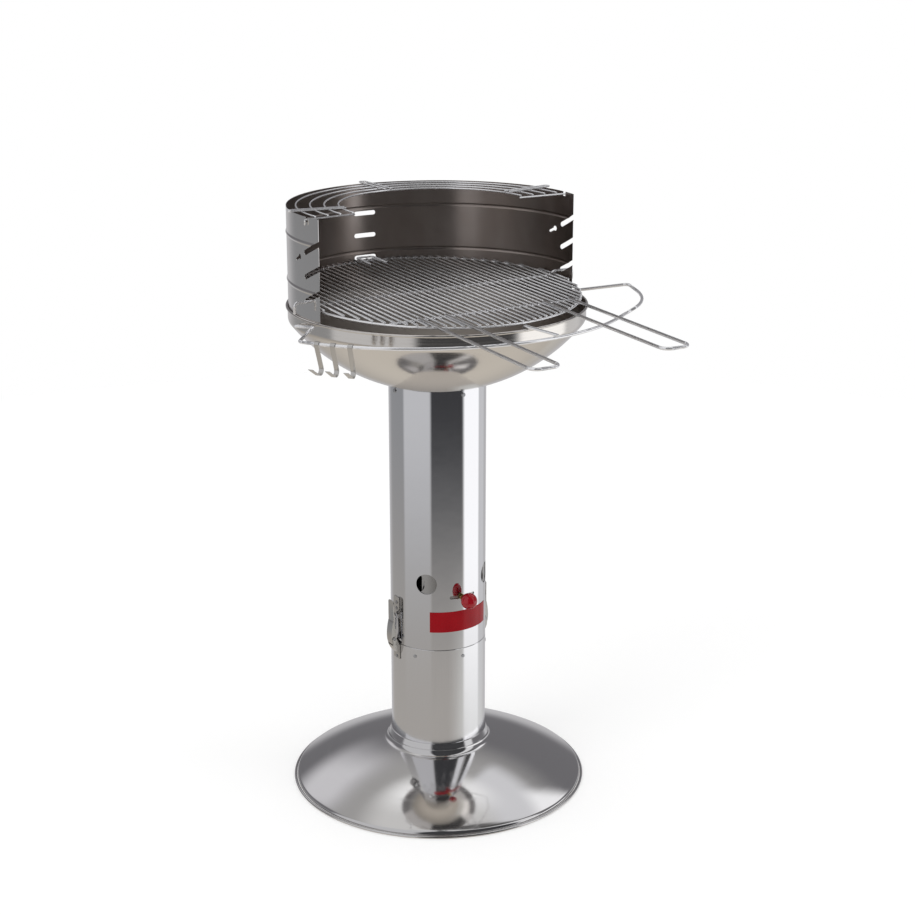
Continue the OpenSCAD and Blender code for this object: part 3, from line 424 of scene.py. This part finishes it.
def dress(node, material, bevel):
    """A cleaned and smoothly shaded copy of a CAD node, which it replaces."""
    bm = bmesh.new()
    bm.from_mesh(nodes[node].data)
    bmesh.ops.remove_doubles(bm, verts=bm.verts, dist=MERGE)
    if bevel:
        bmesh.ops.dissolve_limit(bm, angle_limit=math.radians(0.5), verts=bm.verts,
                                 edges=bm.edges)
    name = node + "_finished"
    mesh = bpy.data.meshes.new(name)
    bm.to_mesh(mesh)
    bm.free()
    return mesh_piece(mesh, name, material, nodes[node]["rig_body"], [node], bevel=bevel)


# Foot

def make_foot():
    """Spun foot: crown, fillet, collar and ledge in one sheet, turned down onto a rolled hem."""
    sheet = 1.2 * MM
    hem = 2.3 * MM
    crown = 507 * MM
    crown_end = 258.5 * MM
    crown_z = -425.6 * MM
    edge = 6 * MM
    collar_r = COLUMN_R + 5.5 * MM
    fillet = 11 * MM
    groove = 0.6 * MM
    lip = 2 * MM
    lean = 1.5 * MM
    opening = 40 * MM
    collar_c = collar_r + fillet
    fillet_z = crown_z + math.sqrt((crown + fillet) ** 2 - collar_c ** 2)
    tilt = math.degrees(math.atan2(fillet_z - crown_z, collar_c))
    end = math.degrees(math.acos(crown_end / crown))
    edge_x = crown_end - edge * math.cos(math.radians(end))
    edge_z = crown_z + (crown - edge) * math.sin(math.radians(end))

    def side(d):
        return ([(edge_x + edge - d, edge_z - lip)]
                + arc(edge_x, edge_z, edge - d, 0, end, 12)
                + arc(0, crown_z, crown - d, end, tilt, 40)
                + arc(collar_c, fillet_z, fillet + d, 180 + tilt, 180, 20)
                + [(collar_r - groove - d, fillet_z + groove), (collar_r - d, fillet_z + 2 * groove),
                   (COLUMN_R + lean - d, LEDGE_Z - groove), (COLUMN_R - d, LEDGE_Z - d),
                   (opening, LEDGE_Z - d)])

    bm = bmesh.new()
    lathe(bm, side(0) + side(sheet)[::-1])
    lathe(bm, arc(FOOT_R - hem, hem, hem, 0, 345, 23))
    return piece_of(bm, "foot_shell", SPUN, ["base_dome"], 40)


# Column

def make_upper_column():
    """Upper tube with its four air holes and the knob's level slot."""
    sheet = 1 * MM
    inner = COLUMN_R - sheet
    bm = bmesh.new()
    edge = 0.4 * MM
    lathe(bm, [(COLUMN_R - edge, JOINT_Z), (COLUMN_R, JOINT_Z + edge), (COLUMN_R, COLUMN_TOP),
               (inner, COLUMN_TOP), (inner, JOINT_Z)], 180)
    piece = piece_of(bm, "upper_column_tube", TUBE, ["upper_column"])
    holes = bmesh.new()
    air_hole_r = 18.75 * MM
    air_points = 64
    step = 360 / air_points
    air_hole = arc(0, 0, air_hole_r, 0, 360 - step, air_points - 1)
    cutter_r = 55 * MM
    through = 60 * MM
    for turn in (45, 135, 225, 315):
        prism(holes, air_hole, through, on_wall(turn, AIR_Z, cutter_r))
    slot_w = 6 * MM
    reach = COLUMN_R * math.radians(15)
    prism(holes, slot_line(slot_w, -reach, reach), through, on_wall(270, SLOT_Z, cutter_r))
    cut(piece, holes)
    true_round(piece)
    return piece


def make_lower_column():
    """Lower tube with its floor plate."""
    sheet = 1 * MM
    inner = COLUMN_R - sheet
    edge = 0.5 * MM
    opening = 60 * MM
    top = high("lower_column").z - edge
    bm = bmesh.new()
    lathe(bm, [(COLUMN_R, LEDGE_Z), (COLUMN_R, top - edge), (COLUMN_R - edge, top), (inner, top),
               (inner, LEDGE_Z + sheet), (opening, LEDGE_Z + sheet), (opening, LEDGE_Z)], 180)
    return piece_of(bm, "lower_column_tube", DULL_TUBE, ["lower_column"])


# Bowl

BAND_R = 256.6 * MM
BOWL_SHEET = 1.2 * MM
FILLET_Z = RIM_Z - 21.3 * MM


def make_bowl():
    """Spun bowl: dish, fillet, upright band, rolled rim and the neck that enters the column."""
    dish = 325 * MM
    fillet = 12 * MM
    rim = 2.3 * MM
    neck_r = COLUMN_R - 1.3 * MM
    neck_in = neck_r - BOWL_SHEET
    fillet_c = BAND_R - fillet
    dish_z = FILLET_Z + math.sqrt((dish - fillet) ** 2 - fillet_c ** 2)
    lean = math.degrees(math.atan2(FILLET_Z - dish_z, fillet_c))

    def side(d):
        start = -math.degrees(math.acos(neck_in / (dish - d)))
        return (arc(0, dish_z, dish - d, start, lean, 48)
                + arc(fillet_c, FILLET_Z, fillet - d, lean, 0, 12)
                + [(BAND_R - d, RIM_Z - rim)])

    bm = bmesh.new()
    lathe(bm, side(0) + side(BOWL_SHEET)[::-1])
    rim_c = BAND_R - BOWL_SHEET + rim
    lathe(bm, arc(rim_c, RIM_Z - rim, rim, 0, 345, 23))
    neck_top = dish_z - math.sqrt(dish ** 2 - neck_r ** 2) + BOWL_SHEET / 2
    lathe(bm, [(neck_r, low("bowl").z), (neck_r, neck_top), (neck_in, neck_top),
               (neck_in, low("bowl").z)])
    piece = piece_of(bm, "bowl_shell", SATIN, ["bowl"], 40)
    # The inside faces get the lining, whose darker colour is painted shade.
    piece.data.materials.append(LINING)
    for face in piece.data.polygons:
        outward = Vector((face.center.x, face.center.y, face.center.z - dish_z))
        inside = math.hypot(face.center.x, face.center.y) < BAND_R - BOWL_SHEET / 2
        if inside and face.normal.dot(outward) < 0 and face.center.z > neck_top:
            face.material_index = 1
    return piece


# Windshield

SCREEN_R = BAND_R - BOWL_SHEET - 0.2 * MM
SCREEN_SHEET = 0.8 * MM
SCREEN_SPAN = 201.0
# Heights below the top edge
BEAD_DROPS = (124 * MM, 44 * MM)
KEYHOLE_DROP = 69 * MM
# Heights above the low edge
SEAT_RISE = 51 * MM
REAR_RISE = 56 * MM
SLOT_PITCH = 40.3 * MM
SLOT_TILT = math.radians(-25)
# Turns from the rear, in degrees
KEYHOLE_TURN = 87
NOTCH_TURN = 93


def bead(z, d):
    """Outline of a rolled bead, standing 1.5 mm proud over 8 mm."""
    out = 1.5 * MM
    half = 4 * MM
    return [(SCREEN_R - d + out * (1 + math.cos(math.pi * i / 8)) / 2, z + half * i / 8)
            for i in range(-8, 9)]


def make_windshield():
    """Rolled sheet with two beads, slots for the grid, keyholes and notches for the rack."""
    inner = SCREEN_R - SCREEN_SHEET

    def side(d):
        beads = [point for drop in BEAD_DROPS for point in bead(SCREEN_TOP - drop, d)]
        return [(SCREEN_R - d, SCREEN_LOW)] + beads + [(SCREEN_R - d, SCREEN_TOP)]

    bm = bmesh.new()
    lathe(bm, side(0) + side(SCREEN_SHEET)[::-1], 168, 90 - SCREEN_SPAN / 2, SCREEN_SPAN)
    piece = piece_of(bm, "windshield_sheet", ROLLED, ["windshield"])
    cuts = bmesh.new()
    through = 2 * SCREEN_R + 20 * MM
    side_slot = slot_line(8.5 * MM, -80 * MM, 0)
    rear_slot = slot_line(8 * MM, -18 * MM, 18 * MM)
    notch = [(-4 * MM, -8 * MM), (4 * MM, -8 * MM), (4 * MM, 2 * MM), (-4 * MM, 2 * MM)]
    for k in range(3):
        place = (Matrix.Translation((-through / 2, -7.5 * MM, SCREEN_LOW + SEAT_RISE + k * SLOT_PITCH))
                 @ Matrix.Rotation(SLOT_TILT, 4, "X") @ UPRIGHT)
        prism(cuts, side_slot, through, place)
        rear_z = SCREEN_LOW + REAR_RISE + k * SLOT_PITCH
        prism(cuts, rear_slot, 20 * MM, on_wall(90, rear_z, inner - 10 * MM))
    for s in (-1, 1):
        wall = on_wall(90 - KEYHOLE_TURN * s, SCREEN_TOP - KEYHOLE_DROP, inner - 5 * MM)
        prism(cuts, keyhole_line(s), 12 * MM, wall)
        prism(cuts, notch, 12 * MM, on_wall(90 - NOTCH_TURN * s, SCREEN_TOP, inner - 5 * MM))
    cut(piece, cuts)
    piece.data.materials.append(BROWNED)
    for face in piece.data.polygons:
        if face.normal.dot(Vector((face.center.x, face.center.y, 0)).normalized()) < -0.3:
            face.material_index = 1
    true_round(piece)
    return piece


def keyhole_line(s):
    """Outline of a keyhole whose tail runs down towards the rear, on the side of this sign."""
    hole = 4.5 * MM
    tail = 2.2 * MM
    run = 15 * MM
    lean = -25
    mouth = math.degrees(math.asin(tail / hole))
    points = arc(0, 0, hole, mouth, 360 - mouth, 20) + arc(run, 0, tail, -90, 90, 8)
    turned = Matrix.Rotation(math.radians(lean), 2)
    return [((turned @ Vector(p)).x * s, (turned @ Vector(p)).y) for p in points]


make_foot()
make_upper_column()
make_lower_column()
make_bowl()
make_windshield()

# The rest keeps its CAD shape, cleaned and shaded: its material and how far its sharp edges are
# eased, in millimetres
FINISHES = {
    "base_bolts": (ZINC, 0.4), "base_nuts": (ZINC, 0.3), "column_sleeve": (MILL, 0),
    "sleeve_rivets": (ZINC, 0.35), "ash_basin": (MILL, 0), "badge_band": (FILM, 0),
    "air_ring": (MILL, 0), "knob_stud": (ZINC, 0.2), "knob_nut": (BRASS, 0.4),
    "knob_ball": (PHENOLIC, 0), "latch_keepers": (PRESSED, 0.25),
    "latch_brackets": (PRESSED, 0.25), "latch_rivets": (ZINC, 0.3), "latch_pins": (ZINC, 0.3),
    "latch_lever_left": (PRESSED, 0.25), "latch_lever_right": (PRESSED, 0.25),
    "latch_bail_left": (WIRE, 0), "latch_bail_right": (WIRE, 0), "bowl_screws": (ZINC, 0.7),
    "bowl_nuts": (ZINC, 0.3), "charcoal_grate": (IRON, 0), "windshield_screws": (ZINC, 0.7),
    "windshield_nuts": (ZINC, 0.3), "tool_rail": (WIRE, 0), "grid_support": (WIRE, 0),
    "hook_1": (PRESSED, 0.3), "hook_2": (PRESSED, 0.3), "hook_3": (PRESSED, 0.3),
    "cooking_grid": (WIRE, 0), "grid_frame": (WIRE, 0), "grid_hanger": (WIRE, 0),
    "grid_tongue": (WIRE, 0), "grid_handle_left": (WIRE, 0), "grid_handle_right": (WIRE, 0),
    "rack_arcs": (WIRE, 0), "rack_end_bars": (WIRE, 0), "rack_hairpins": (WIRE, 0),
}
for node, (material, easing) in FINISHES.items():
    dressed = dress(node, material, easing * MM)
    if node in ("badge_band", "air_ring", "column_sleeve"):
        true_round(dressed)


# Studio

def make_floor():
    """Pale floor that keeps the object's soft shadow; polished parts see the studio instead."""
    glow_strength = 0.16
    bm = bmesh.new()
    bmesh.ops.create_circle(bm, cap_ends=True, segments=96, radius=3)
    mesh = bpy.data.meshes.new("floor")
    bm.to_mesh(mesh)
    bm.free()
    floor = bpy.data.objects.new("floor", mesh)
    bpy.context.scene.collection.objects.link(floor)
    material = bpy.data.materials.new("pale_floor")
    material.use_nodes = True
    tree = material.node_tree
    tree.nodes.clear()
    matte = add(tree, "ShaderNodeBsdfDiffuse", {"Color": linear("#eeeeee")})
    path = add(tree, "ShaderNodeLightPath")
    lift = add(tree, "ShaderNodeMath", {0: path.outputs["Is Camera Ray"], 1: glow_strength},
               operation="MULTIPLY")
    glow = add(tree, "ShaderNodeEmission",
               {"Color": linear("#ffffff"), "Strength": lift.outputs[0]})
    both = add(tree, "ShaderNodeAddShader", {0: matte.outputs[0], 1: glow.outputs[0]})
    clear = add(tree, "ShaderNodeBsdfTransparent")
    mixed = add(tree, "ShaderNodeMixShader",
                {0: path.outputs["Is Glossy Ray"], 1: both.outputs[0], 2: clear.outputs[0]})
    add(tree, "ShaderNodeOutputMaterial", {"Surface": mixed.outputs[0]})
    mesh.materials.append(material)


CAMERA_SPOT = (-1.6059, -2.6620, 1.5605)
CAMERA_TURN = math.atan2(CAMERA_SPOT[1], CAMERA_SPOT[0])
# The bare room that polished steel mirrors, as (degrees up, grey) from the floor to overhead
ROOM = [(-60, "#bcb7b0"), (-26, "#9a9691"), (-14, "#87888a"), (3, "#6b6a6d"), (30, "#6b6a6d"),
        (55, "#9c9b9a"), (70, "#c4c3c2")]
# Panels and flags that stand in it, as (middle and half-width in degrees round from the camera
# to its right, softness; lower and upper edge in degrees up, softness; grey)
PANELS = {
    "pale floor on the right": (100, 46, 34, -40, -22, 3, "#c6c6c4"),
    "pale wall behind": (178, 34, 14, -30, -2, 8, "#acabad"),
    "pale wall on the left": (-52, 35, 4, -20, 90, 5, "#b8b8ba"),
    "side light on the right": (129, 15, 8, -24, -5, 4, "#bebec0"),
    "white wall on the right": (90, 25, 4, -24, -3, 4, "#fafafb"),
    "white strip on the right": (73, 10, 3, -8, 90, 5, "#d4d4d6"),
    "black flag in front": (23, 38, 3, -19.5, 90, 4.5, "#39393b"),
    "soft box behind on the left": (-141, 17, 12, 22, 47, 7, "#c6c5c8"),
    "soft box behind on the right": (134, 24, 3, 47, 68, 5, "#cccccf"),
    "its brighter foot": (124, 12, 4, 30, 50, 4, "#f0f0f2"),
    "dark gap beside it": (101, 10, 2, 40, 90, 4, "#484747"),
    "skylight behind": (180, 40, 20, 62, 90, 6, "#f0f0f0"),
}


def up(degrees):
    """Height of a direction of length 1 at this many degrees above the horizon."""
    return math.sin(math.radians(max(-90, min(90, degrees))))


def panel_share(tree, direction, height, middle, half, soft, bottom, top, fade):
    """How far a direction lies inside a panel, from 0 to 1."""
    turned = add(tree, "ShaderNodeVectorRotate",
                 {"Vector": direction, "Angle": -CAMERA_TURN - math.radians(middle)},
                 rotation_type="Z_AXIS")
    level = add(tree, "ShaderNodeSeparateXYZ", {0: turned.outputs[0]})
    turn = add(tree, "ShaderNodeMath", {0: level.outputs[1], 1: level.outputs[0]},
               operation="ARCTAN2")
    aside = add(tree, "ShaderNodeMath", {0: turn.outputs[0]}, operation="ABSOLUTE")
    edges = [(aside.outputs[0], math.radians(half + soft), math.radians(half - soft))]
    if bottom > -90:
        edges.append((height, up(bottom - fade), up(bottom + fade)))
    if top < 90:
        edges.append((height, up(top + fade), up(top - fade)))
    share = 1.0
    for value, outside, inside in edges:
        edge = add(tree, "ShaderNodeMapRange",
                   {"Value": value, "From Min": outside, "From Max": inside},
                   interpolation_type="SMOOTHSTEP")
        both = add(tree, "ShaderNodeMath", {0: share, 1: edge.outputs[0]}, operation="MULTIPLY")
        share = both.outputs[0]
    return share


def make_world():
    """A studio for polished steel to mirror, even light on the rest, and white behind."""
    world = bpy.data.worlds.new("studio")
    bpy.context.scene.world = world
    world.use_nodes = True
    tree = world.node_tree
    tree.nodes.clear()
    direction = add(tree, "ShaderNodeTexCoord").outputs["Generated"]
    height = add(tree, "ShaderNodeSeparateXYZ", {0: direction}).outputs[2]
    layers = []
    for (start, _), (end, grey) in zip(ROOM, ROOM[1:]):
        rise = add(tree, "ShaderNodeMapRange",
                   {"Value": height, "From Min": up(start), "From Max": up(end)},
                   interpolation_type="SMOOTHSTEP")
        layers.append((rise.outputs[0], grey))
    for *place, grey in PANELS.values():
        layers.append((panel_share(tree, direction, height, *place), grey))
    seen = linear(ROOM[0][1])
    for share, grey in layers:
        mixed = add(tree, "ShaderNodeMix", {0: share, 6: seen, 7: linear(grey)}, data_type="RGBA")
        seen = mixed.outputs[2]
    path = add(tree, "ShaderNodeLightPath")
    even = add(tree, "ShaderNodeBackground", {"Color": linear("#ffffff"), "Strength": 0.95})
    studio = add(tree, "ShaderNodeBackground", {"Color": seen, "Strength": 1.3})
    white = add(tree, "ShaderNodeBackground", {"Color": linear("#ffffff"), "Strength": 1.0})
    glossy = add(tree, "ShaderNodeMixShader",
                 {0: path.outputs["Is Glossy Ray"], 1: even.outputs[0], 2: studio.outputs[0]})
    final = add(tree, "ShaderNodeMixShader",
                {0: path.outputs["Is Camera Ray"], 1: glossy.outputs[0], 2: white.outputs[0]})
    add(tree, "ShaderNodeOutputWorld", {"Surface": final.outputs[0]})


def make_lamp(name, energy, size, spot, target):
    """A soft square lamp for the painted parts; polished steel mirrors the studio alone."""
    light = bpy.data.lights.new(name, "AREA")
    light.energy = energy
    light.size = size
    lamp = bpy.data.objects.new(name, light)
    lamp.location = spot
    lamp.rotation_euler = (Vector(target) - Vector(spot)).to_track_quat("-Z", "Y").to_euler()
    lamp.visible_glossy = False
    bpy.context.scene.collection.objects.link(lamp)


def make_camera():
    """The photograph's camera, fitted to the rims of the foot, the bowl and the windshield."""
    data = bpy.data.cameras.new("camera")
    data.lens = 72.4
    data.sensor_width = 36
    camera = bpy.data.objects.new("camera", data)
    camera.location = CAMERA_SPOT
    camera.rotation_euler = [math.radians(a) for a in (72.95, 0, -31.75)]
    bpy.context.scene.collection.objects.link(camera)
    bpy.context.scene.camera = camera


make_floor()
make_world()
make_camera()
make_lamp("key", energy=18, size=1.6, spot=(-2.6, -0.6, 3.0), target=(0, 0, 0.6))
make_lamp("fill", energy=10, size=1.6, spot=(2.4, -2.0, 2.4), target=(0, 0, 0.6))
bpy.context.scene.view_settings.view_transform = "Standard"
